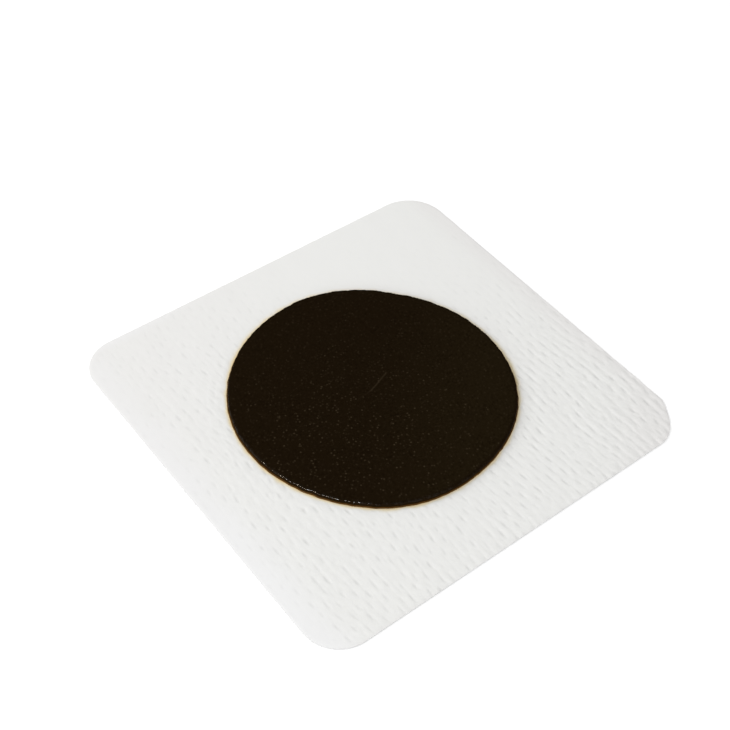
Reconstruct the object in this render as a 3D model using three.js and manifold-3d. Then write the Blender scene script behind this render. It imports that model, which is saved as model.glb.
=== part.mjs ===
// A medicated skin patch, peeled and lying on its outer face with the adhesive side up.
// A nearly square sheet of embossed nonwoven cloth carries a cast disc of dark plaster.
// Millimetres, +Z up. The origin is the middle of the sheet's outer face, which lies on Z = 0.

import * as THREE from "three";
import { mergeGeometries, mergeVertices } from "three/addons/utils/BufferGeometryUtils.js";
import Module from "manifold-3d";

// Cloth sheet: X is across the roll of cloth, and Y runs along it
const sheetLength = 70;
const sheetWidth = 67.6;
const sheetThickness = 0.3;

// The die's rounded corners, named by the sides that they join
const minusXMinusYRadius = 6.2;
const minusXPlusYRadius = 6.1;
const plusXPlusYRadius = 6.8;

// The +X, -Y corner is clipped by the die: the cut leaves the +X side at a sharp slant
// and runs out smoothly into the -Y side
const clipRise = 6.1;
const clipRun = 6.5;
const clipSlant = 2.9;

// Bond marks pressed into the cloth: short dashes along Y in columns, and every second
// column is shifted by half a pitch
const columnPitch = 1.41;
const markPitch = 2.72;
const markLength = 1.4;
const markWidth = 0.66;
const markDepth = 0.11;
const markMargin = 0.25;

// Plaster disc, cast a little off the sheet's middle
const discRadius = 22.33;
const discHeight = 0.8;
const discShoulder = 0.24;
const discX = -1.12;
const discY = 0.47;

// The disc's edge isn't a true circle: each wave has this many lobes round the edge, rises
// this far, and has one lobe pointing this way, in degrees from +X
const edgeWaves = [
  { lobes: 2, rise: 0.35, towards: -47.4 },
  { lobes: 3, rise: 0.13, towards: -23.6 },
  { lobes: 4, rise: 0.15, towards: -23 },
  { lobes: 5, rise: 0.04, towards: 20 },
  { lobes: 6, rise: 0.06, towards: 14 },
];

// Fineness of the facets
const cornerSteps = 10;
const discSteps = 120;
const shoulderSteps = 4;

// Colours and finishes
const clothFinish = { color: 0xf1f1ee, roughness: 0.92, metalness: 0 };
const plasterFinish = { color: 0x181009, roughness: 0.38, metalness: 0 };

const wasm = await Module();
wasm.setup();

/** The disc's radius in a direction, given as an angle from +X in radians. */
function discRadiusAt(angle) {
  let radius = discRadius;
  for (const { lobes, rise, towards } of edgeWaves) {
    const lobeAngle = THREE.MathUtils.degToRad(towards);
    radius += rise * Math.cos(lobes * (angle - lobeAngle));
  }
  return radius;
}

/** The cut edge of the cloth, seen from above. */
function sheetOutline() {
  const x = sheetLength / 2;
  const y = sheetWidth / 2;
  const quarter = Math.PI / 2;
  const outline = new THREE.Shape();
  let r = minusXMinusYRadius;
  outline.moveTo(-x + r, -y);
  outline.lineTo(x - clipRun, -y);
  outline.quadraticCurveTo(x - clipSlant, -y, x, -y + clipRise);
  r = plusXPlusYRadius;
  outline.lineTo(x, y - r);
  outline.absarc(x - r, y - r, r, 0, quarter);
  r = minusXPlusYRadius;
  outline.lineTo(-x + r, y);
  outline.absarc(-x + r, y - r, r, quarter, 2 * quarter);
  r = minusXMinusYRadius;
  outline.lineTo(-x, -y + r);
  outline.absarc(-x + r, -y + r, r, 2 * quarter, 3 * quarter);
  return outline;
}

/** Whether a point lies inside a closed outline of points. */
function isInside(corners, point) {
  let inside = false;
  let before = corners[corners.length - 1];
  for (const corner of corners) {
    const crosses = corner.y > point.y !== before.y > point.y;
    if (crosses) {
      const share = (point.y - corner.y) / (before.y - corner.y);
      const crossingX = corner.x + share * (before.x - corner.x);
      if (point.x < crossingX) inside = !inside;
    }
    before = corner;
  }
  return inside;
}

/** Whether a mark at this place keeps a margin to the sheet's edge and to the plaster. */
function markIsClear(outlinePoints, x, y) {
  const reachX = markWidth / 2 + markMargin;
  const reachY = markLength / 2 + markMargin;
  const tips = [
    new THREE.Vector2(x - reachX, y),
    new THREE.Vector2(x + reachX, y),
    new THREE.Vector2(x, y - reachY),
    new THREE.Vector2(x, y + reachY),
  ];
  return tips.every((tip) => {
    const fromDisc = new THREE.Vector2(tip.x - discX, tip.y - discY);
    const clearOfDisc = fromDisc.length() > discRadiusAt(fromDisc.angle());
    return clearOfDisc && isInside(outlinePoints, tip);
  });
}

/** The middles of all bond marks that show on the adhesive face. */
function markPlaces(outlinePoints) {
  const columns = Math.ceil(sheetLength / 2 / columnPitch);
  const rows = Math.ceil(sheetWidth / 2 / markPitch);
  const places = [];
  for (let column = -columns; column <= columns; column += 1) {
    const shift = column % 2 === 0 ? 0 : markPitch / 2;
    for (let row = -rows; row <= rows; row += 1) {
      const x = column * columnPitch;
      const y = row * markPitch + shift;
      if (markIsClear(outlinePoints, x, y)) places.push([x, y]);
    }
  }
  return places;
}

/** A wedge that presses one mark: four-sided, point down, and standing clear of the face. */
function markWedge() {
  const lift = markDepth / 2;
  const height = markDepth + lift;
  const wedge = new THREE.ConeGeometry(height / markDepth / 2, height, 4);
  wedge.rotateX(-Math.PI / 2);
  wedge.scale(markWidth, markLength, 1);
  wedge.translate(0, 0, lift - height / 2);
  return wedge;
}

/** A closed three.js geometry as a solid that can be cut. */
function solidOf(geometry) {
  const bare = geometry.clone();
  bare.deleteAttribute("normal");
  bare.deleteAttribute("uv");
  const merged = mergeVertices(bare);
  const mesh = new wasm.Mesh({
    numProp: 3,
    vertProperties: merged.attributes.position.array,
    triVerts: new Uint32Array(merged.index.array),
  });
  return new wasm.Manifold(mesh);
}

/** A solid as a three.js geometry. */
function geometryOf(solid) {
  const mesh = solid.getMesh();
  const geometry = new THREE.BufferGeometry();
  geometry.setAttribute("position", new THREE.BufferAttribute(mesh.vertProperties, 3));
  geometry.setIndex(new THREE.BufferAttribute(mesh.triVerts, 1));
  geometry.computeVertexNormals();
  return geometry;
}

/** The cloth, cut to its outline and pressed with bond marks on the adhesive face. */
function makeBacking() {
  const outline = sheetOutline();
  const blank = new THREE.ExtrudeGeometry(outline, {
    depth: sheetThickness,
    bevelEnabled: false,
    curveSegments: cornerSteps,
  });
  const wedge = markWedge();
  const wedges = markPlaces(outline.getPoints(cornerSteps)).map(([x, y]) => {
    return wedge.clone().translate(x, y, sheetThickness);
  });
  const marked = solidOf(blank).subtract(solidOf(mergeGeometries(wedges)));
  const backing = new THREE.Mesh(
    geometryOf(marked),
    new THREE.MeshStandardMaterial(clothFinish),
  );
  backing.name = "nonwoven_backing";
  return backing;
}

/** The plaster: a turned disc with a rounded shoulder, its round then drawn to the real edge. */
function makeDisc() {
  const profile = [new THREE.Vector2(0, 0), new THREE.Vector2(discRadius, 0)];
  for (let step = 0; step <= shoulderSteps; step += 1) {
    const turn = (step / shoulderSteps) * (Math.PI / 2);
    const inset = discShoulder * (1 - Math.cos(turn));
    const drop = discShoulder * (1 - Math.sin(turn));
    profile.push(new THREE.Vector2(discRadius - inset, discHeight - drop));
  }
  profile.push(new THREE.Vector2(0, discHeight));
  const turned = new THREE.LatheGeometry(profile, discSteps);
  turned.rotateX(Math.PI / 2);

  const points = turned.attributes.position;
  for (let index = 0; index < points.count; index += 1) {
    const x = points.getX(index);
    const y = points.getY(index);
    const stretch = discRadiusAt(Math.atan2(y, x)) / discRadius;
    points.setXY(index, x * stretch, y * stretch);
  }
  turned.computeVertexNormals();

  const disc = new THREE.Mesh(turned, new THREE.MeshStandardMaterial(plasterFinish));
  disc.name = "plaster_disc";
  disc.position.set(discX, discY, sheetThickness);
  return disc;
}

const patch = new THREE.Group();
patch.add(makeBacking(), makeDisc());

export default patch;
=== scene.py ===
"""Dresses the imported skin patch: its embossed cloth, its cast plaster, the table and the light.

Lengths named in millimetres are turned into metres only where a mesh or an object is made.
"""
import math

import bpy
import numpy as np
from mathutils import Matrix, Vector
from mathutils.geometry import delaunay_2d_cdt


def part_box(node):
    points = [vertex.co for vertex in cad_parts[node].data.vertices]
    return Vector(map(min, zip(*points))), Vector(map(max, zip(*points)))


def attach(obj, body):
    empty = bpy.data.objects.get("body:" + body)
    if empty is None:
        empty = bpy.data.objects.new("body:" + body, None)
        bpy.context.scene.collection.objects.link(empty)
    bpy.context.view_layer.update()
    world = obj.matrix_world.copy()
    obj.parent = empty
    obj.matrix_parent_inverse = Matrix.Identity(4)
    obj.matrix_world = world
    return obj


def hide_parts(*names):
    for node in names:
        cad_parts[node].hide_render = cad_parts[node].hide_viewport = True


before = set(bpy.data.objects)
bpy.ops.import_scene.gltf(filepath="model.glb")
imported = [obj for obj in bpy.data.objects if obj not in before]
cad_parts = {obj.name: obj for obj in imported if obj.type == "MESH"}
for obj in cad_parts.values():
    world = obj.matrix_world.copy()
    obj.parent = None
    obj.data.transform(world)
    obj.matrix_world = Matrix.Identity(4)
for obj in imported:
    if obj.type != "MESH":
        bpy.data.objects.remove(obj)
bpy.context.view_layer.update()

MM = 0.001

# The camera, in millimetres and degrees
CAMERA_PLACE = (-88.24, -101.40, 156.02)
CAMERA_AIM = (1.61, 5.79, 0.0)
CAMERA_ROLL = 3.01
CAMERA_LENS = 64.63
CAMERA_SENSOR = 36.0

# The cloth's outline
CORNER_RADII = {"-x-y": 6.2, "-x+y": 6.1, "+x+y": 6.8}
CLIP_RISE = 6.1
CLIP_RUN = 6.5
CLIP_SLANT = 2.9
OUTLINE_STEP = 0.3

# The cloth's bond marks, and how far they wander off their rows
COLUMN_PITCH = 1.41
MARK_PITCH = 2.72
MARK_LENGTH = 1.2
MARK_WIDTH = 0.42
MARK_DEPTH = 0.085
MARK_SCATTER = (0.10, 0.24)
DRIFT = 0.34
STEPS_PER_PITCH_ABOVE = 9
STEPS_PER_PITCH_BELOW = 4
STEPS_PER_PITCH_HIDDEN = 2

# The plaster's edge: lobes round it, how far they rise, and where one points in degrees
EDGE_WAVES = ((2, 0.35, -47.4), (3, 0.13, -23.6), (4, 0.15, -23.0), (5, 0.04, 20.0), (6, 0.06, 14.0))
DISC_RADIUS = 22.33
DISC_OFFSET = (-1.12, 0.47)
# Small faults of that edge: direction and half width in degrees, and how far it stands out
EDGE_FAULTS = ((85.0, 3.5, 0.12), (88.9, 1.0, -0.08), (41.0, 5.0, -0.12),
               (140.0, 16.0, -0.13), (-40.0, 16.0, -0.07))
SHOULDER = 0.22
PLEAT_PITCH = 0.58
PLEAT_DEPTH = 0.06
PLEATS = round(2 * math.pi * DISC_RADIUS / PLEAT_PITCH)
STEPS_PER_PLEAT = 6
# The plaster's open top starts this far in from its edge, and lies this far below the highest spot
TOP_INSET = 0.60
TOP_SINK = 0.034
# The plaster's oil has crept into the cloth in front of it and behind it, in these directions
STAIN_BEFORE = 215.0
STAIN_BEHIND = 45.0
# The edge is glossiest in this direction, in degrees
GLOSSY_TOWARDS = 209.0
# A faint scratch across the middle of the plaster's top
SCRATCH = ((2.6, 1.75), (0.4, 0.95), (-1.3, 0.33), (-4.3, 0.0))
SCRATCH_DEPTH = 0.02
SCRATCH_WIDTH = 0.2

# The cloth is painted lighter towards its -X side over this width, as painted light from the lamps
# there, and its embossing is flatter there
LIT_MARGIN_WIDTH = 6.5

cloth_low, cloth_high = (np.array(corner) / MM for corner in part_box("nonwoven_backing"))
disc_low, disc_high = (np.array(corner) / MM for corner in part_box("plaster_disc"))
HALF_X = (cloth_high[0] - cloth_low[0]) / 2
HALF_Y = (cloth_high[1] - cloth_low[1]) / 2
CLOTH_TOP = cloth_high[2]
DISC_TOP = disc_high[2]


# Unevenness and outlines

def ripples(x, y, size, seed, stretch=1.0, waves=22):
    """Smooth unevenness about size millimetres across, with a spread of 1, drawn out along Y."""
    draw = np.random.default_rng(seed)
    total = np.zeros(np.shape(x))
    for _ in range(waves):
        heading, phase = draw.uniform(0, 2 * math.pi, 2)
        turns = 1 / (size * draw.uniform(0.7, 1.7))
        along = x * math.cos(heading) + y * math.sin(heading) / stretch
        total += np.sin(2 * math.pi * turns * along + phase)
    return total / math.sqrt(waves / 2)


def ease(low, high, value):
    """0 below low, 1 above high, and a smooth rise between."""
    share = np.clip((value - low) / (high - low), 0, 1)
    return share * share * (3 - 2 * share)


def arc(centre, radius, start, stop):
    """Points of a quarter circle, evenly spaced, without its last point."""
    count = max(4, round(abs(stop - start) * radius / OUTLINE_STEP))
    turn = start + (stop - start) * np.arange(count) / count
    return np.stack([centre[0] + radius * np.cos(turn), centre[1] + radius * np.sin(turn)], 1)


def straight(start, stop):
    """Points of a straight stretch, evenly spaced, without its last point."""
    start, stop = np.array(start, float), np.array(stop, float)
    count = max(1, round(np.linalg.norm(stop - start) / OUTLINE_STEP))
    return start + (stop - start) * (np.arange(count) / count)[:, None]


def clipped_corner():
    """The slanting cut of the +X, -Y corner, from the -Y side up to the +X side."""
    first = np.array((HALF_X - CLIP_RUN, -HALF_Y))
    pull = np.array((HALF_X - CLIP_SLANT, -HALF_Y))
    last = np.array((HALF_X, -HALF_Y + CLIP_RISE))
    count = round(np.linalg.norm(last - first) / OUTLINE_STEP)
    t = (np.arange(count) / count)[:, None]
    return (1 - t) ** 2 * first + 2 * t * (1 - t) * pull + t ** 2 * last


def cloth_outline():
    """The cut edge of the cloth, anticlockwise from the -Y side."""
    first, second, third = (CORNER_RADII[sides] for sides in ("-x-y", "+x+y", "-x+y"))
    x, y = HALF_X, HALF_Y
    quarter = math.pi / 2
    return np.concatenate([
        straight((-x + first, -y), (x - CLIP_RUN, -y)),
        clipped_corner(),
        straight((x, -y + CLIP_RISE), (x, y - second)),
        arc((x - second, y - second), second, 0, quarter),
        straight((x - second, y), (-x + third, y)),
        arc((-x + third, y - third), third, quarter, 2 * quarter),
        straight((-x, y - third), (-x, -y + first)),
        arc((-x + first, -y + first), first, 2 * quarter, 3 * quarter),
    ])


def inside(outline, points):
    """Which points lie inside a closed outline."""
    found = np.zeros(len(points), bool)
    for a, b in zip(outline, np.roll(outline, -1, 0)):
        crosses = (a[1] > points[:, 1]) != (b[1] > points[:, 1])
        rise = b[1] - a[1] if b[1] != a[1] else 1.0
        crossing = a[0] + (points[:, 1] - a[1]) / rise * (b[0] - a[0])
        found ^= crosses & (points[:, 0] < crossing)
    return found


def disc_edge(angle):
    """The plaster's radius in a direction, with its lobes."""
    radius = np.full(np.shape(angle), DISC_RADIUS)
    for lobes, rise, towards in EDGE_WAVES:
        radius += rise * np.cos(lobes * (angle - math.radians(towards)))
    for towards, half_width, rise in EDGE_FAULTS:
        turn = np.degrees(angle) - towards
        turn = (turn + 180) % 360 - 180
        radius += rise * np.exp(-(turn / half_width) ** 2)
    return radius


def past_edge(away):
    """How far points lie outside the plaster's edge, when they are measured from its middle."""
    return np.hypot(*away.T) - disc_edge(np.arctan2(away[:, 1], away[:, 0]))


def past_disc(points):
    """How far points on the cloth lie outside the plaster's edge."""
    return past_edge(points - np.array(DISC_OFFSET))


def to_outline(outline, points):
    """How far points lie from the cloth's cut edge, or 9 for all that aren't close to it."""
    away = np.full(len(points), 9.0)
    near = np.flatnonzero(~inside(outline * (1 - 0.7 / HALF_Y), points))
    away[near] = np.hypot(*(points[near][:, None] - outline[None]).transpose(2, 0, 1)).min(1)
    return away


def staggered(steps):
    """A grid over the whole sheet that keeps step with the bond marks, every second row shifted."""
    dx, dy = COLUMN_PITCH / steps, MARK_PITCH / steps
    xs = np.arange(-HALF_X, HALF_X, dx)
    ys = np.arange(-HALF_Y, HALF_Y, dy)
    grid_x, grid_y = np.meshgrid(xs, ys)
    grid_x = grid_x + (np.arange(len(ys)) % 2)[:, None] * dx / 2
    return np.stack([grid_x.ravel(), grid_y.ravel()], 1)


def ring_round_disc(distance, step):
    """Points in a ring round the plaster at a distance from its edge."""
    count = round(2 * math.pi * DISC_RADIUS / step)
    angle = 2 * math.pi * np.arange(count) / count
    radius = disc_edge(angle) + distance
    return np.stack([radius * np.cos(angle), radius * np.sin(angle)], 1) + DISC_OFFSET


def fill(outline, inner):
    """The outline's points, then the inner ones, and the triangles between them, all facing up."""
    spots = np.concatenate([outline, inner])
    loop = list(range(len(outline)))
    made = delaunay_2d_cdt([Vector(p) for p in spots], [], [loop], 1, 1e-7)
    first_of = np.array([origins[0] for origins in made[3]])
    faces = first_of[np.array(made[2])]
    a, b, c = (spots[faces[:, i]] for i in range(3))
    facing = (b[:, 0] - a[:, 0]) * (c[:, 1] - a[:, 1]) - (b[:, 1] - a[:, 1]) * (c[:, 0] - a[:, 0])
    faces[facing < 0] = faces[facing < 0][:, ::-1]
    return spots, faces


def make_piece(name, points, faces, marks, finish, sharp=38):
    """A mesh object from points in millimetres, with named values at its points."""
    mesh = bpy.data.meshes.new(name)
    mesh.from_pydata((np.asarray(points) * MM).tolist(), [], [tuple(face) for face in faces])
    mesh.polygons.foreach_set("use_smooth", [True] * len(mesh.polygons))
    for mark, values in marks.items():
        mesh.attributes.new(mark, "FLOAT", "POINT").data.foreach_set(
            "value", np.asarray(values, np.float32))
    mesh.validate()
    mesh.set_sharp_from_angle(angle=math.radians(sharp))
    mesh.materials.append(finish)
    piece = bpy.data.objects.new(name, mesh)
    bpy.context.scene.collection.objects.link(piece)
    return piece


# Materials

class Value:
    """A node's output that takes part in sums; each sum adds a Math node."""

    def __init__(self, finish, socket):
        self.finish = finish
        self.socket = socket

    def _sum(self, operation, first, second):
        return self.finish.node("ShaderNodeMath", {"operation": operation}, {0: first, 1: second})

    def __add__(self, other):
        return self._sum("ADD", self, other)

    def __radd__(self, other):
        return self._sum("ADD", other, self)

    def __sub__(self, other):
        return self._sum("SUBTRACT", self, other)

    def __rsub__(self, other):
        return self._sum("SUBTRACT", other, self)

    def __mul__(self, other):
        return self._sum("MULTIPLY", self, other)

    def at_least(self, other):
        """The greater of the two."""
        return self._sum("MAXIMUM", self, other)


class Finish:
    """A procedural material, or the world, put together from nodes."""

    def __init__(self, owner):
        owner.use_nodes = True
        self.owner = owner
        self.tree = owner.node_tree
        self.tree.nodes.clear()

    def node(self, kind, settings=None, inputs=None, output=0):
        """Adds a node, sets it, feeds its sockets and gives back one output."""
        made = self.tree.nodes.new(kind)
        for name, value in (settings or {}).items():
            setattr(made, name, value)
        for name, value in (inputs or {}).items():
            if isinstance(value, Value):
                self.tree.links.new(value.socket, made.inputs[name])
            else:
                made.inputs[name].default_value = value
        return Value(self, made.outputs[output]) if made.outputs else None

    def in_millimetres(self):
        """Places on the piece, in millimetres."""
        place = self.node("ShaderNodeTexCoord", output="Object")
        return self.node("ShaderNodeVectorMath", {"operation": "SCALE"},
                         {0: place, "Scale": 1 / MM})

    def turned(self, place, degrees, squeeze):
        """Places turned about Z and squeezed across, so that a pattern on them is drawn out."""
        return self.node("ShaderNodeMapping", {"vector_type": "POINT"},
                         {"Vector": place, "Rotation": (0, 0, math.radians(degrees)),
                          "Scale": squeeze})

    def noise(self, place, scale, detail=2.0, roughness=0.5, distortion=0.0):
        """Cloudy noise from 0 to 1."""
        return self.node("ShaderNodeTexNoise", None,
                         {"Vector": place, "Scale": scale, "Detail": detail,
                          "Roughness": roughness, "Distortion": distortion}, "Fac")

    def ramp(self, value, low, high):
        """0 below low, 1 above high, and a smooth rise between."""
        return self.node("ShaderNodeMapRange", {"interpolation_type": "SMOOTHSTEP"},
                         {"Value": value, "From Min": low, "From Max": high})

    def blend(self, share, first, second):
        """A colour that goes from the first to the second as share goes from 0 to 1."""
        first = first if isinstance(first, Value) else (*first, 1)
        second = second if isinstance(second, Value) else (*second, 1)
        return self.node("ShaderNodeMix", {"data_type": "RGBA"}, {0: share, 6: first, 7: second}, 2)

    def mark(self, name):
        """A value that the mesh carries at its points."""
        return self.node("ShaderNodeAttribute", {"attribute_name": name}, None, "Fac")

    def bump(self, height, millimetres, under=None):
        """A normal raised by height times this many millimetres."""
        inputs = {"Height": height, "Distance": millimetres * MM, "Strength": 1.0}
        if under is not None:
            inputs["Normal"] = under
        return self.node("ShaderNodeBump", None, inputs)

    def surface(self, inputs):
        """Ends the material in one principled surface."""
        shader = self.node("ShaderNodeBsdfPrincipled", None, inputs)
        self.node("ShaderNodeOutputMaterial", None, {"Surface": shader})
        return self.owner


CLOTH_WHITE = (0.852, 0.852, 0.832)
# Painted light: a lighter white for the cloth's -X margin, where the lamps stand
LIT_MARGIN_WHITE = (0.878, 0.878, 0.877)
# Painted shade: a darker, faintly pink white for the +X, -Y corner and the +X side
SHADE_TINT_WHITE = (0.800, 0.778, 0.768)
# Painted shadow: the grey of the plaster's shadow on the cloth
SHADOW_GREY_WHITE = (0.56, 0.53, 0.50)
PRESSED_WHITE = (0.68, 0.68, 0.665)
OIL_CREAM = (0.82, 0.70, 0.46)
OIL_AMBER = (0.62, 0.40, 0.14)
OIL_DARK = (0.10, 0.05, 0.012)
PLASTER_TOP = (0.0098, 0.0055, 0.0019)
PLASTER_PALE = (0.0122, 0.0078, 0.0027)
PLASTER_DARK = (0.0050, 0.0024, 0.0006)
# Pale grains of the plaster, partly painted glints
PLASTER_GRAIN_AND_GLINT = (0.058, 0.042, 0.024)
PLASTER_WALL = (0.014, 0.0065, 0.0014)
PLASTER_FOOT = (0.11, 0.052, 0.012)
PLASTER_TINT = (1.0, 0.62, 0.34, 1.0)


def cloth_finish():
    """White spunbond: matted fibres, glassy bond marks, and plaster oil drawn in round the disc."""
    f = Finish(bpy.data.materials.new("nonwoven_cloth"))
    place = f.in_millimetres()
    pressed = f.mark("pressed")
    relief = f.mark("relief")
    fibres = f.noise(f.turned(place, 8, (5.0, 0.45, 1)), 1.0, 3, 0.6, 0.8)
    crossing = f.noise(f.turned(place, 62, (5.5, 0.6, 1)), 1.0, 3, 0.6, 0.8)
    leaning = f.noise(f.turned(place, -55, (5.5, 0.6, 1)), 1.0, 3, 0.6, 0.8)
    mat = (fibres * 0.5 + crossing * 0.25 + leaning * 0.25)
    clumps = f.noise(place, 1.3, 4, 0.6)
    # Painted light: the cloth is lighter along its -X margin, where the lamps stand
    colour = f.blend(f.mark("lit_margin"), CLOTH_WHITE, LIT_MARGIN_WHITE)
    # Painted shade, with a faint pink tint, at the +X, -Y corner and along the +X side
    colour = f.blend(f.mark("painted_shade_tint") * 0.7, colour, SHADE_TINT_WHITE)
    # Painted shadow of the plaster on the cloth beside its +X side
    colour = f.blend(f.mark("painted_shadow_beside_disc"), colour, SHADOW_GREY_WHITE)
    colour = f.blend(pressed * relief * 0.5, colour, PRESSED_WHITE)
    thin = f.ramp(clumps * 0.6 + mat * 0.4, 0.62, 0.30)
    colour = f.blend(thin * relief * 0.25, colour, PRESSED_WHITE)
    stain = f.mark("stain")
    colour = f.blend(f.ramp(stain, 0.04, 0.50), colour, OIL_CREAM)
    colour = f.blend(f.ramp(stain, 0.45, 0.80), colour, OIL_AMBER)
    colour = f.blend(f.ramp(stain, 0.80, 1.0), colour, OIL_DARK)
    woolly = f.bump(clumps * relief, 0.05)
    normal = f.bump(mat * relief * (1 - pressed * 0.8), 0.06, woolly)
    return f.surface({
        "Base Color": colour,
        "Roughness": 0.9 - pressed * 0.3,
        "Coat Weight": f.mark("adhesive") * 0.12,
        "Coat Roughness": 0.45,
        "Normal": normal,
    })


def plaster_finish():
    """Near-black cast plaster: pale grains on top, partly painted glints, a glossy shoulder and an amber
    thin foot.
    """
    f = Finish(bpy.data.materials.new("dark_plaster"))
    place = f.in_millimetres()
    cells = f.node("ShaderNodeTexVoronoi", {"feature": "F1"},
                   {"Vector": place, "Scale": 1.6, "Randomness": 1.0}, "Distance")
    some = f.noise(place, 0.9, 2, 0.5)
    fine = f.noise(place, 2.6, 2, 0.55)
    specks_and_glints = f.ramp(cells, 0.34, 0.08) * f.ramp(some, 0.34, 0.64)
    patches = f.noise(place, 0.4, 2, 0.5)
    hollows = f.ramp(fine * 0.75 + patches * 0.25, 0.50, 0.30)
    # Pale grains on the top, partly painted glints that are denser towards the front
    grain_and_glint = f.ramp(fine, 0.55, 0.85) * 0.18 + specks_and_glints * 0.62 * f.mark("grain_and_glints")
    wall = f.mark("wall")
    shoulder = f.mark("shoulder")
    colour = f.blend(f.mark("pale"), PLASTER_TOP, PLASTER_PALE)
    colour = f.blend(hollows * 0.55, colour, PLASTER_DARK)
    colour = f.blend(grain_and_glint * (1 - wall), colour, PLASTER_GRAIN_AND_GLINT)
    colour = f.blend(f.mark("scratch") * 0.34, colour, PLASTER_GRAIN_AND_GLINT)
    colour = f.blend(f.ramp(wall, 0.0, 0.5), colour, PLASTER_WALL)
    colour = f.blend(f.ramp(wall, 0.6, 1.0), colour, PLASTER_FOOT)
    low = f.bump(f.noise(place, 1.1, 3, 0.55), 0.03)
    normal = f.bump(fine * 0.5 + specks_and_glints * 0.5, 0.03, low)
    wet = f.ramp(f.noise(place, 1.3, 3, 0.6), 0.42, 0.58)
    return f.surface({
        "Base Color": colour,
        "Roughness": 0.60 - shoulder * 0.2,
        "Specular IOR Level": 0.04,
        "Specular Tint": PLASTER_TINT,
        "Coat Weight": shoulder * (0.12 + wet * 0.88),
        "Coat Roughness": 0.13,
        "Coat IOR": 1.75,
        "Normal": normal,
    })


# The cloth

def bond_marks(x, y):
    """How far the cloth is pressed at each place, from 0 to 1, by wandering rows of short dashes."""
    column = (x + DRIFT * ripples(x, y, 24, seed=3)) / COLUMN_PITCH
    nearest = np.round(column)
    row = (y + DRIFT * ripples(x, y, 30, seed=4)) / MARK_PITCH + 0.5 * (nearest % 2)
    chosen = (nearest.astype(int) * 71 + np.round(row).astype(int) * 157) % 4096
    draw = np.random.default_rng(5)
    force = np.clip(draw.normal(0.75, 0.35, 4096), 0.05, 1.4)[chosen]
    aside, ahead = (draw.normal(0, spread, 4096)[chosen] for spread in MARK_SCATTER)
    long = draw.uniform(0.7, 1.25, 4096)[chosen]
    across = (column - nearest) * COLUMN_PITCH - aside
    along = (row - np.round(row)) * MARK_PITCH - ahead
    reach = np.hypot(across / (MARK_WIDTH / 2), along / (MARK_LENGTH * long / 2))
    return np.exp(-0.75 * reach ** 3) * force, column


def puckering(x, y):
    """Where the cloth is drawn into ridges along Y: strongest towards the +X, -Y side."""
    return ease(-0.1, 0.9, (x / HALF_X - y / HALF_Y) / 2 + 0.12 * ripples(x, y, 15, seed=6))


def painted_light_margin(x, y):
    """1 at the -X side and in a thin strip by the +Y side, fading to 0 inwards: where the cloth is
    painted lighter, as painted light, and its embossing is flatter.
    """
    width = LIT_MARGIN_WIDTH * (1 + 0.15 * ease(-0.3, 0.7, -y / HALF_Y))
    margin = 1 - ease(0.0, width, x + HALF_X + 0.3 * ripples(x, y, 7.0, seed=31))
    margin *= 1 - 0.4 * ease(0.3, 1.0, y / HALF_Y)
    strip = (1 - ease(0.4, 2.2, HALF_Y - y)) * (1 - ease(-26, -8, x))
    return np.maximum(margin, 0.7 * strip)


def painted_shade_tint(x, y):
    """Painted shade with a faint pink tint: most at the +X, -Y corner and along the +X side, weaker
    towards the -X, +Y corner.
    """
    corner = ease(0.68, 1.0, (x / HALF_X - y / HALF_Y) / 2)
    side = 0.75 * (1 - ease(0.0, 5.0, HALF_X - x))
    opposite = 0.4 * ease(0.2, 0.8, (y / HALF_Y - x / HALF_X) / 2)
    return np.maximum(np.maximum(corner, side), opposite)


def painted_shadow_beside_disc(x, y):
    """Painted shadow: where the cloth is greyed close beside the plaster, on its +X side, away from the
    lamps.
    """
    away = np.stack([x, y], 1) - DISC_OFFSET
    towards = away[:, 0] / np.maximum(np.hypot(*away.T), 0.1)
    nearness = np.exp(-np.maximum(past_disc(np.stack([x, y], 1)), 0) / 0.8)
    return 0.52 * nearness * ease(-0.2, 0.8, towards)


def relief_share(x, y):
    """How much of the embossing is left: most at the +X, -Y corner, least by +Y and in the lighter -X
    margin.
    """
    across, up = x / HALF_X, y / HALF_Y
    share = 0.40 + 0.36 * ease(0.10, 0.95, (across - up) / 2)
    share += 0.16 * ease(0.2, 0.9, -(across + up) / 2)
    share -= 0.34 * ease(0.15, 0.70, (across + up) / 2)
    share -= 0.08 * ease(0.2, 0.8, (up - across) / 2)
    share -= 0.12 * np.exp(-((across - 0.2) / 0.5) ** 2 - ((up + 0.8) / 0.4) ** 2)
    flattened = np.exp(-((across - 0.45) / 0.65) ** 2 - ((up - 1.0) / 0.45) ** 2)
    share = np.maximum(share, 0.12) * (1 - 0.80 * flattened)
    share *= 1 - 0.86 * painted_light_margin(x, y)
    drawn = np.exp(-np.maximum(past_disc(np.stack([x, y], 1)), 0) / 3.0)
    pull = 1.4 * ease(0.1, 0.6, (across - up) / 2) + 0.7 * ease(0.1, 0.7, -across)
    return share * (1 + drawn * pull)


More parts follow.
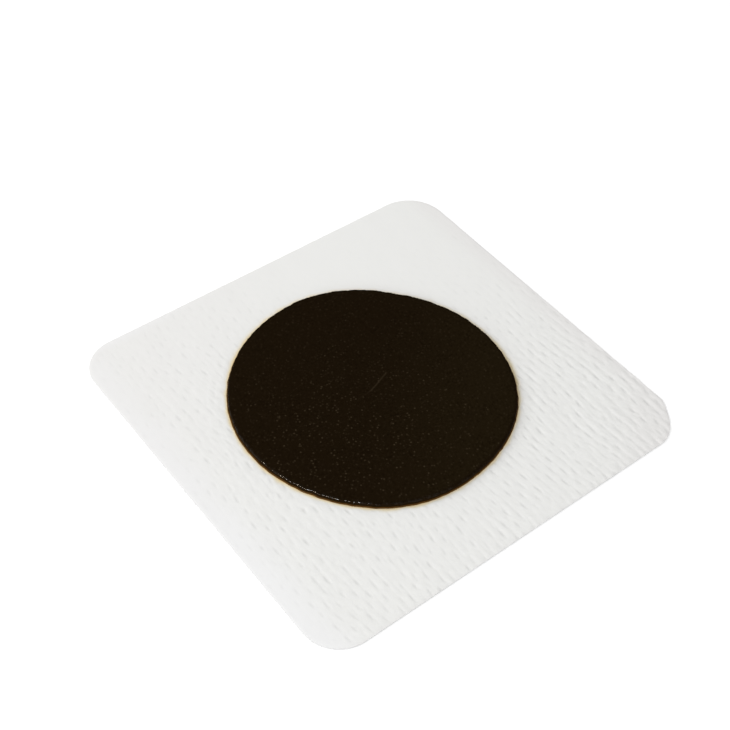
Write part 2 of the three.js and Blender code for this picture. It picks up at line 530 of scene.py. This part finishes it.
def cloth_top(points, to_edge):
    """Heights of the adhesive face, and how far it is pressed there."""
    x, y = points.T
    pressed, column = bond_marks(x, y)
    ridged = puckering(x, y)
    height = 0.018 * ripples(x, y, 1.1, seed=7, stretch=1.8)
    height -= 0.028 * ridged * np.cos(2 * math.pi * column)
    height += (0.006 + 0.016 * ridged) * ripples(x, y, 1.2, seed=9, stretch=4.0)
    height += (0.005 + 0.006 * ridged) * ripples(x, y, 0.62, seed=10, stretch=2.5)
    height -= MARK_DEPTH * pressed
    height *= relief_share(x, y)
    height += 0.008 * ripples(x, y, 5.0, seed=8, stretch=2.5)
    past = np.maximum(past_disc(points), 0)
    drawn_in = np.exp(-past / 2.6) * ease(0.0, 0.8, -x / HALF_X)
    height += 0.013 * drawn_in * np.cos(2 * math.pi * past / 1.35 + ripples(x, y, 6.0, seed=14))
    loose = ease(0.0, 0.7, past_disc(points))
    height = CLOTH_TOP - 0.012 + loose * (height - 0.01)
    height -= 0.05 * (1 - ease(0.0, 0.35, to_edge))
    return height, pressed * loose


def cloth_spots(outline):
    """Points within the upper face, closely set where it shows, and points within the lower face."""
    within = outline * (1 - 0.16 / HALF_Y)
    fine = staggered(STEPS_PER_PITCH_ABOVE)
    fine = fine[(past_disc(fine) > 0.45) & inside(within, fine)]
    hidden = staggered(STEPS_PER_PITCH_HIDDEN)
    hidden = hidden[past_disc(hidden) < -0.8]
    rings = [ring_round_disc(distance, 0.24) for distance in (-0.12, 0.0, 0.1, 0.2, 0.32)]
    under = staggered(STEPS_PER_PITCH_BELOW)
    return np.concatenate([fine, hidden, *rings]), under[inside(within, under)]


def stain_share(points):
    """How much of the plaster's oil has crept into the cloth: most of it close by the disc."""
    away = points - np.array(DISC_OFFSET)
    turn = np.arctan2(away[:, 1], away[:, 0])
    reach = 0.28 + 0.08 * np.cos(turn - math.radians(STAIN_BEFORE))
    reach += 0.26 * ease(-0.3, 0.6, np.cos(turn - math.radians(STAIN_BEHIND)))
    reach += 0.045 * ripples(*points.T, 2.2, seed=12)
    return np.exp(-np.maximum(past_disc(points), 0) / np.maximum(reach, 0.1))


def make_cloth(finish):
    """The cloth as one closed sheet: fine above, coarser below and where the plaster hides it."""
    outline = cloth_outline()
    count = len(outline)
    spots_above, spots_below = cloth_spots(outline)
    above, faces_above = fill(outline, spots_above)
    below, faces_below = fill(outline, spots_below)
    top, pressed_above = cloth_top(above, to_outline(outline, above))
    pressed_below, _ = bond_marks(*below.T)
    pressed_below[:count] = 0

    pinch = np.minimum(0.006 * ripples(*outline.T, 0.8, seed=11), 0)[:, None]
    outward = outline / np.linalg.norm(outline, axis=1)[:, None]
    points = np.concatenate([
        np.column_stack([above, top]),
        np.column_stack([below, 0.05 * pressed_below]),
        np.column_stack([outline + outward * pinch, np.full(count, CLOTH_TOP * 0.45)]),
    ])
    start_below, start_middle = len(above), len(above) + len(below)
    faces = [*faces_above.tolist(), *(faces_below[:, ::-1] + start_below).tolist()]
    for i in range(count):
        j = (i + 1) % count
        faces.append((i, start_middle + i, start_middle + j, j))
        faces.append((start_middle + i, start_below + i, start_below + j, start_middle + j))

    plain = np.zeros(len(below) + count)
    marks = {
        "pressed": np.concatenate([pressed_above, pressed_below, np.zeros(count)]),
        "stain": np.concatenate([stain_share(above), plain]),
        "lit_margin": np.concatenate([painted_light_margin(*above.T), plain + 1]),
        "painted_shade_tint": np.concatenate([painted_shade_tint(*above.T), plain]),
        "painted_shadow_beside_disc": np.concatenate([painted_shadow_beside_disc(*above.T), plain]),
        "relief": np.concatenate([relief_share(*above.T), plain + 0.6]),
        "adhesive": np.concatenate([np.ones(len(above)), plain]),
    }
    cloth = make_piece("embossed_cloth", points, faces, marks, finish)
    return cloth


# The plaster

def plaster_profile():
    """The rim from the foot up, as inset, height above the cloth, amber share and gloss share."""
    height = DISC_TOP - CLOTH_TOP
    rim = [
        (-0.16, 0.0, 1.0, 0.0),
        (-0.08, 0.05, 1.0, 0.0),
        (-0.01, 0.15, 0.8, 0.0),
        (0.02, 0.30, 0.5, 0.0),
        (0.02, 0.46, 0.4, 0.0),
    ]
    for step, gloss in enumerate((0.1, 0.45, 1.0, 1.0, 0.9, 0.4), 1):
        turn = step / 6 * math.pi / 2
        inset = 0.02 + SHOULDER * (1 - math.cos(turn))
        up = height - 0.04 - SHOULDER * (1 - math.sin(turn))
        rim.append((inset, up, 0.4 * (1 - step / 6), gloss))
    rim.append((0.36, height - 0.036, 0.0, 0.1))
    rim.append((TOP_INSET, height - TOP_SINK, 0.0, 0.0))
    return rim


def scratch_lines():
    """The scratch's straight stretches, measured from the plaster's middle."""
    corners = np.array(SCRATCH) - DISC_OFFSET
    return list(zip(corners[:-1], corners[1:]))


def to_scratch(points):
    """How far points on the plaster lie from the scratch."""
    nearest = np.full(len(points), np.inf)
    for start, stop in scratch_lines():
        run = stop - start
        share = np.clip((points - start) @ run / (run @ run), 0, 1)
        nearest = np.minimum(nearest, np.hypot(*(points - start - share[:, None] * run).T))
    return nearest


def scratch_points():
    """Closely set points along the scratch and on both of its banks."""
    rows = []
    for start, stop in scratch_lines():
        run = stop - start
        length = np.linalg.norm(run)
        sideways = np.array((-run[1], run[0])) / length
        steps = np.arange(0.06, length - 0.06, 0.14)[:, None] / length
        for away in (-0.2, -0.1, 0.0, 0.1, 0.2):
            rows.append(start + steps * run + away * sideways)
    return np.concatenate(rows)


def plaster_rim():
    """Rings of points from the foot up to the open top, with their amber and gloss shares."""
    count = PLEATS * STEPS_PER_PLEAT
    angle = 2 * math.pi * np.arange(count) / count
    round_x, round_y = np.cos(angle), np.sin(angle)
    along = DISC_RADIUS * round_x, DISC_RADIUS * round_y
    wobble = 0.026 * ripples(*along, 1.6, seed=21)
    droop = 0.013 * ripples(*along, 3.0, seed=22)
    strength = ease(-1.3, 0.8, ripples(*along, 3.0, seed=23))
    uneven_pleats = np.cos(PLEATS * angle + 1.3 * ripples(*along, 2.6, seed=26))
    pleat = PLEAT_DEPTH * strength * (0.5 + 0.5 * uneven_pleats)
    glossy_side = ease(0.15, 0.92, np.cos(angle - math.radians(GLOSSY_TOWARDS)))
    rings, amber_shares, gloss_shares = [], [], []
    for inset, up, amber, gloss in plaster_profile():
        soft = (up / (DISC_TOP - CLOTH_TOP)) ** 2
        radius = disc_edge(angle) - inset + wobble - pleat * soft
        rise = CLOTH_TOP + up + (droop - pleat * 0.6) * soft * (inset < 0.5)
        rings.append(np.column_stack([radius * round_x, radius * round_y, rise]))
        amber_shares.append(np.full(count, amber))
        gloss_shares.append(gloss * glossy_side)
    return rings, amber_shares, gloss_shares


def plaster_top(border):
    """The open top within its border: its points, its triangles and how deeply each point is scored."""
    step = 0.42
    across = np.arange(-DISC_RADIUS - 1, DISC_RADIUS + 1, step)
    grid_x, grid_y = np.meshgrid(across, across * math.sqrt(3) / 2)
    grid_x = grid_x + (np.arange(len(across)) % 2)[:, None] * step / 2
    inner = np.stack([grid_x.ravel(), grid_y.ravel()], 1)
    inner = inner[past_edge(inner) < -TOP_INSET - 0.3]
    inner = inner[to_scratch(inner) > SCRATCH_WIDTH + 0.15]
    spots, faces = fill(border[:, :2], np.concatenate([inner, scratch_points()]))
    fading = 0.2 + 0.8 * ease(-2.4, -1.0, spots[:, 0] + DISC_OFFSET[0])
    scored = fading * np.exp(-(to_scratch(spots) / (SCRATCH_WIDTH / 2)) ** 2)
    uneven = 0.010 * ripples(*spots.T, 6.0, seed=24) + 0.004 * ripples(*spots.T, 1.4, seed=25)
    uneven -= SCRATCH_DEPTH * scored
    rise = DISC_TOP - TOP_SINK + uneven * ease(0, 1.5, -TOP_INSET - past_edge(spots))
    rise[:len(border)] = border[:, 2]
    return np.column_stack([spots, rise]), faces, scored


def make_plaster(finish):
    """The cast disc: a pleated, rounded shoulder on a slightly spread foot, and a faintly uneven top."""
    rings, amber_shares, gloss_shares = plaster_rim()
    top, faces_top, scored = plaster_top(rings[-1])
    count = len(rings[0])
    start_top = (len(rings) - 1) * count
    points = np.concatenate([*rings[:-1], top])
    points[:, :2] += DISC_OFFSET
    around = np.arange(count)
    following = (around + 1) % count
    faces = []
    for low in range(0, start_top, count):
        high = low + count
        corners = low + around, low + following, high + following, high + around
        faces.extend(np.stack(corners, 1).tolist())
    faces.extend((faces_top + start_top).tolist())
    _, faces_foot = fill(rings[0][:, :2], np.zeros((0, 2)))
    faces.extend(faces_foot[:, ::-1].tolist())

    # The grains are denser towards the front and thinner sideways; there they stand partly for painted
    # glints of light off the rough top
    towards_front = -(top[:, 0] + top[:, 1]) / (math.sqrt(2) * DISC_RADIUS)
    sideways = (top[:, 0] - top[:, 1]) / (math.sqrt(2) * DISC_RADIUS)
    glint_density = towards_front - 0.7 * sideways ** 2 + 0.25 * ripples(*top[:, :2].T, 7.0, seed=28)
    below_top = np.zeros(start_top)
    within_top = np.zeros(len(top) - count)
    marks = {
        "grain_and_glints": np.concatenate([below_top, 0.35 + 0.65 * ease(-0.6, 0.4, glint_density)]),
        "pale": np.concatenate([below_top, ease(-0.1, 0.9, sideways)]),
        "scratch": np.concatenate([below_top, scored]),
        "wall": np.concatenate([*amber_shares, within_top]),
        "shoulder": np.concatenate([*gloss_shares, within_top]),
    }
    return make_piece("plaster", points, faces, marks, finish, sharp=60)


# The table, the light and the camera

def make_table():
    """A plain white table top that stays white to the eye and keeps the patch's shadow."""
    f = Finish(bpy.data.materials.new("table_white"))
    eye = f.node("ShaderNodeLightPath", output="Is Camera Ray")
    mirror = f.node("ShaderNodeLightPath", output="Is Glossy Ray")
    through = f.node("ShaderNodeLightPath", output="Is Transmission Ray")
    seen = eye.at_least(mirror).at_least(through)
    board = f.node("ShaderNodeBsdfDiffuse", None, {"Color": (0.86, 0.86, 0.86, 1)})
    glow = f.node("ShaderNodeEmission", None, {"Color": (1, 1, 1, 1), "Strength": seen * 0.27})
    both = f.node("ShaderNodeAddShader", None, {0: board, 1: glow})
    f.node("ShaderNodeOutputMaterial", None, {"Surface": both})
    size, drop = 2.0, 0.00002
    mesh = bpy.data.meshes.new("table_top")
    corners = [(-size, -size, -drop), (size, -size, -drop), (size, size, -drop), (-size, size, -drop)]
    mesh.from_pydata(corners, [], [(0, 1, 2, 3)])
    mesh.materials.append(f.owner)
    table = bpy.data.objects.new("table_top", mesh)
    bpy.context.scene.collection.objects.link(table)


def facing(place, aim, roll=0.0):
    """The turn and place of something that looks from one point at another."""
    forward = (Vector(aim) - Vector(place)).normalized()
    side = forward.cross(Vector((0, 0, 1))).normalized()
    up = side.cross(forward)
    right = side * math.cos(roll) + up * math.sin(roll)
    up = up * math.cos(roll) - side * math.sin(roll)
    turn = Matrix((right, up, -forward)).transposed()
    return Matrix.Translation(Vector(place)) @ turn.to_4x4()


# Lamps: name, place in metres, size in metres, watts, colour, and whether it lights and glints
LAMPS = (
    ("near_lamp", (-0.40, -0.17, 0.31), 0.11, 0.68, (1.0, 1.0, 1.0), True, True),
    ("far_lamp", (-0.20, 0.36, 0.30), 0.30, 0.92, (1.0, 1.0, 1.0), True, False),
    ("glint_lamp", (-0.43, -0.02, 0.31), 0.06, 0.90, (1.0, 0.86, 0.68), False, True),
)


def make_light():
    """Two soft lamps on the -X side, a small one that only glints, and light from all round."""
    for name, place, size, energy, colour, lights, glints in LAMPS:
        lamp = bpy.data.lights.new(name, "AREA")
        lamp.size = size
        lamp.energy = energy
        lamp.color = colour
        holder = bpy.data.objects.new(name, lamp)
        holder.matrix_world = facing(place, (0, 0, 0))
        holder.visible_diffuse = lights
        holder.visible_glossy = glints
        bpy.context.scene.collection.objects.link(holder)
    world = bpy.data.worlds.new("even_light")
    bpy.context.scene.world = world
    f = Finish(world)
    mirrored = f.node("ShaderNodeLightPath", output="Is Glossy Ray")
    sky = f.node("ShaderNodeBackground", None,
                 {"Color": (1, 1, 1, 1), "Strength": 0.66 - mirrored * 0.56})
    f.node("ShaderNodeOutputWorld", None, {"Surface": sky})


def make_camera():
    """The camera where the photographer stood."""
    camera = bpy.data.cameras.new("camera")
    camera.sensor_fit = "HORIZONTAL"
    camera.sensor_width = CAMERA_SENSOR
    camera.lens = CAMERA_LENS
    camera.clip_start = 0.005
    holder = bpy.data.objects.new("camera", camera)
    place, aim = (Vector(p) * MM for p in (CAMERA_PLACE, CAMERA_AIM))
    holder.matrix_world = facing(place, aim, math.radians(CAMERA_ROLL))
    bpy.context.scene.collection.objects.link(holder)
    bpy.context.scene.camera = holder


make_camera()
make_light()
make_table()
cloth = make_cloth(cloth_finish())
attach(cloth, "root")
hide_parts("nonwoven_backing")
plaster = make_plaster(plaster_finish())
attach(plaster, "root")
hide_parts("plaster_disc")

bpy.context.scene.view_settings.view_transform = "Standard"
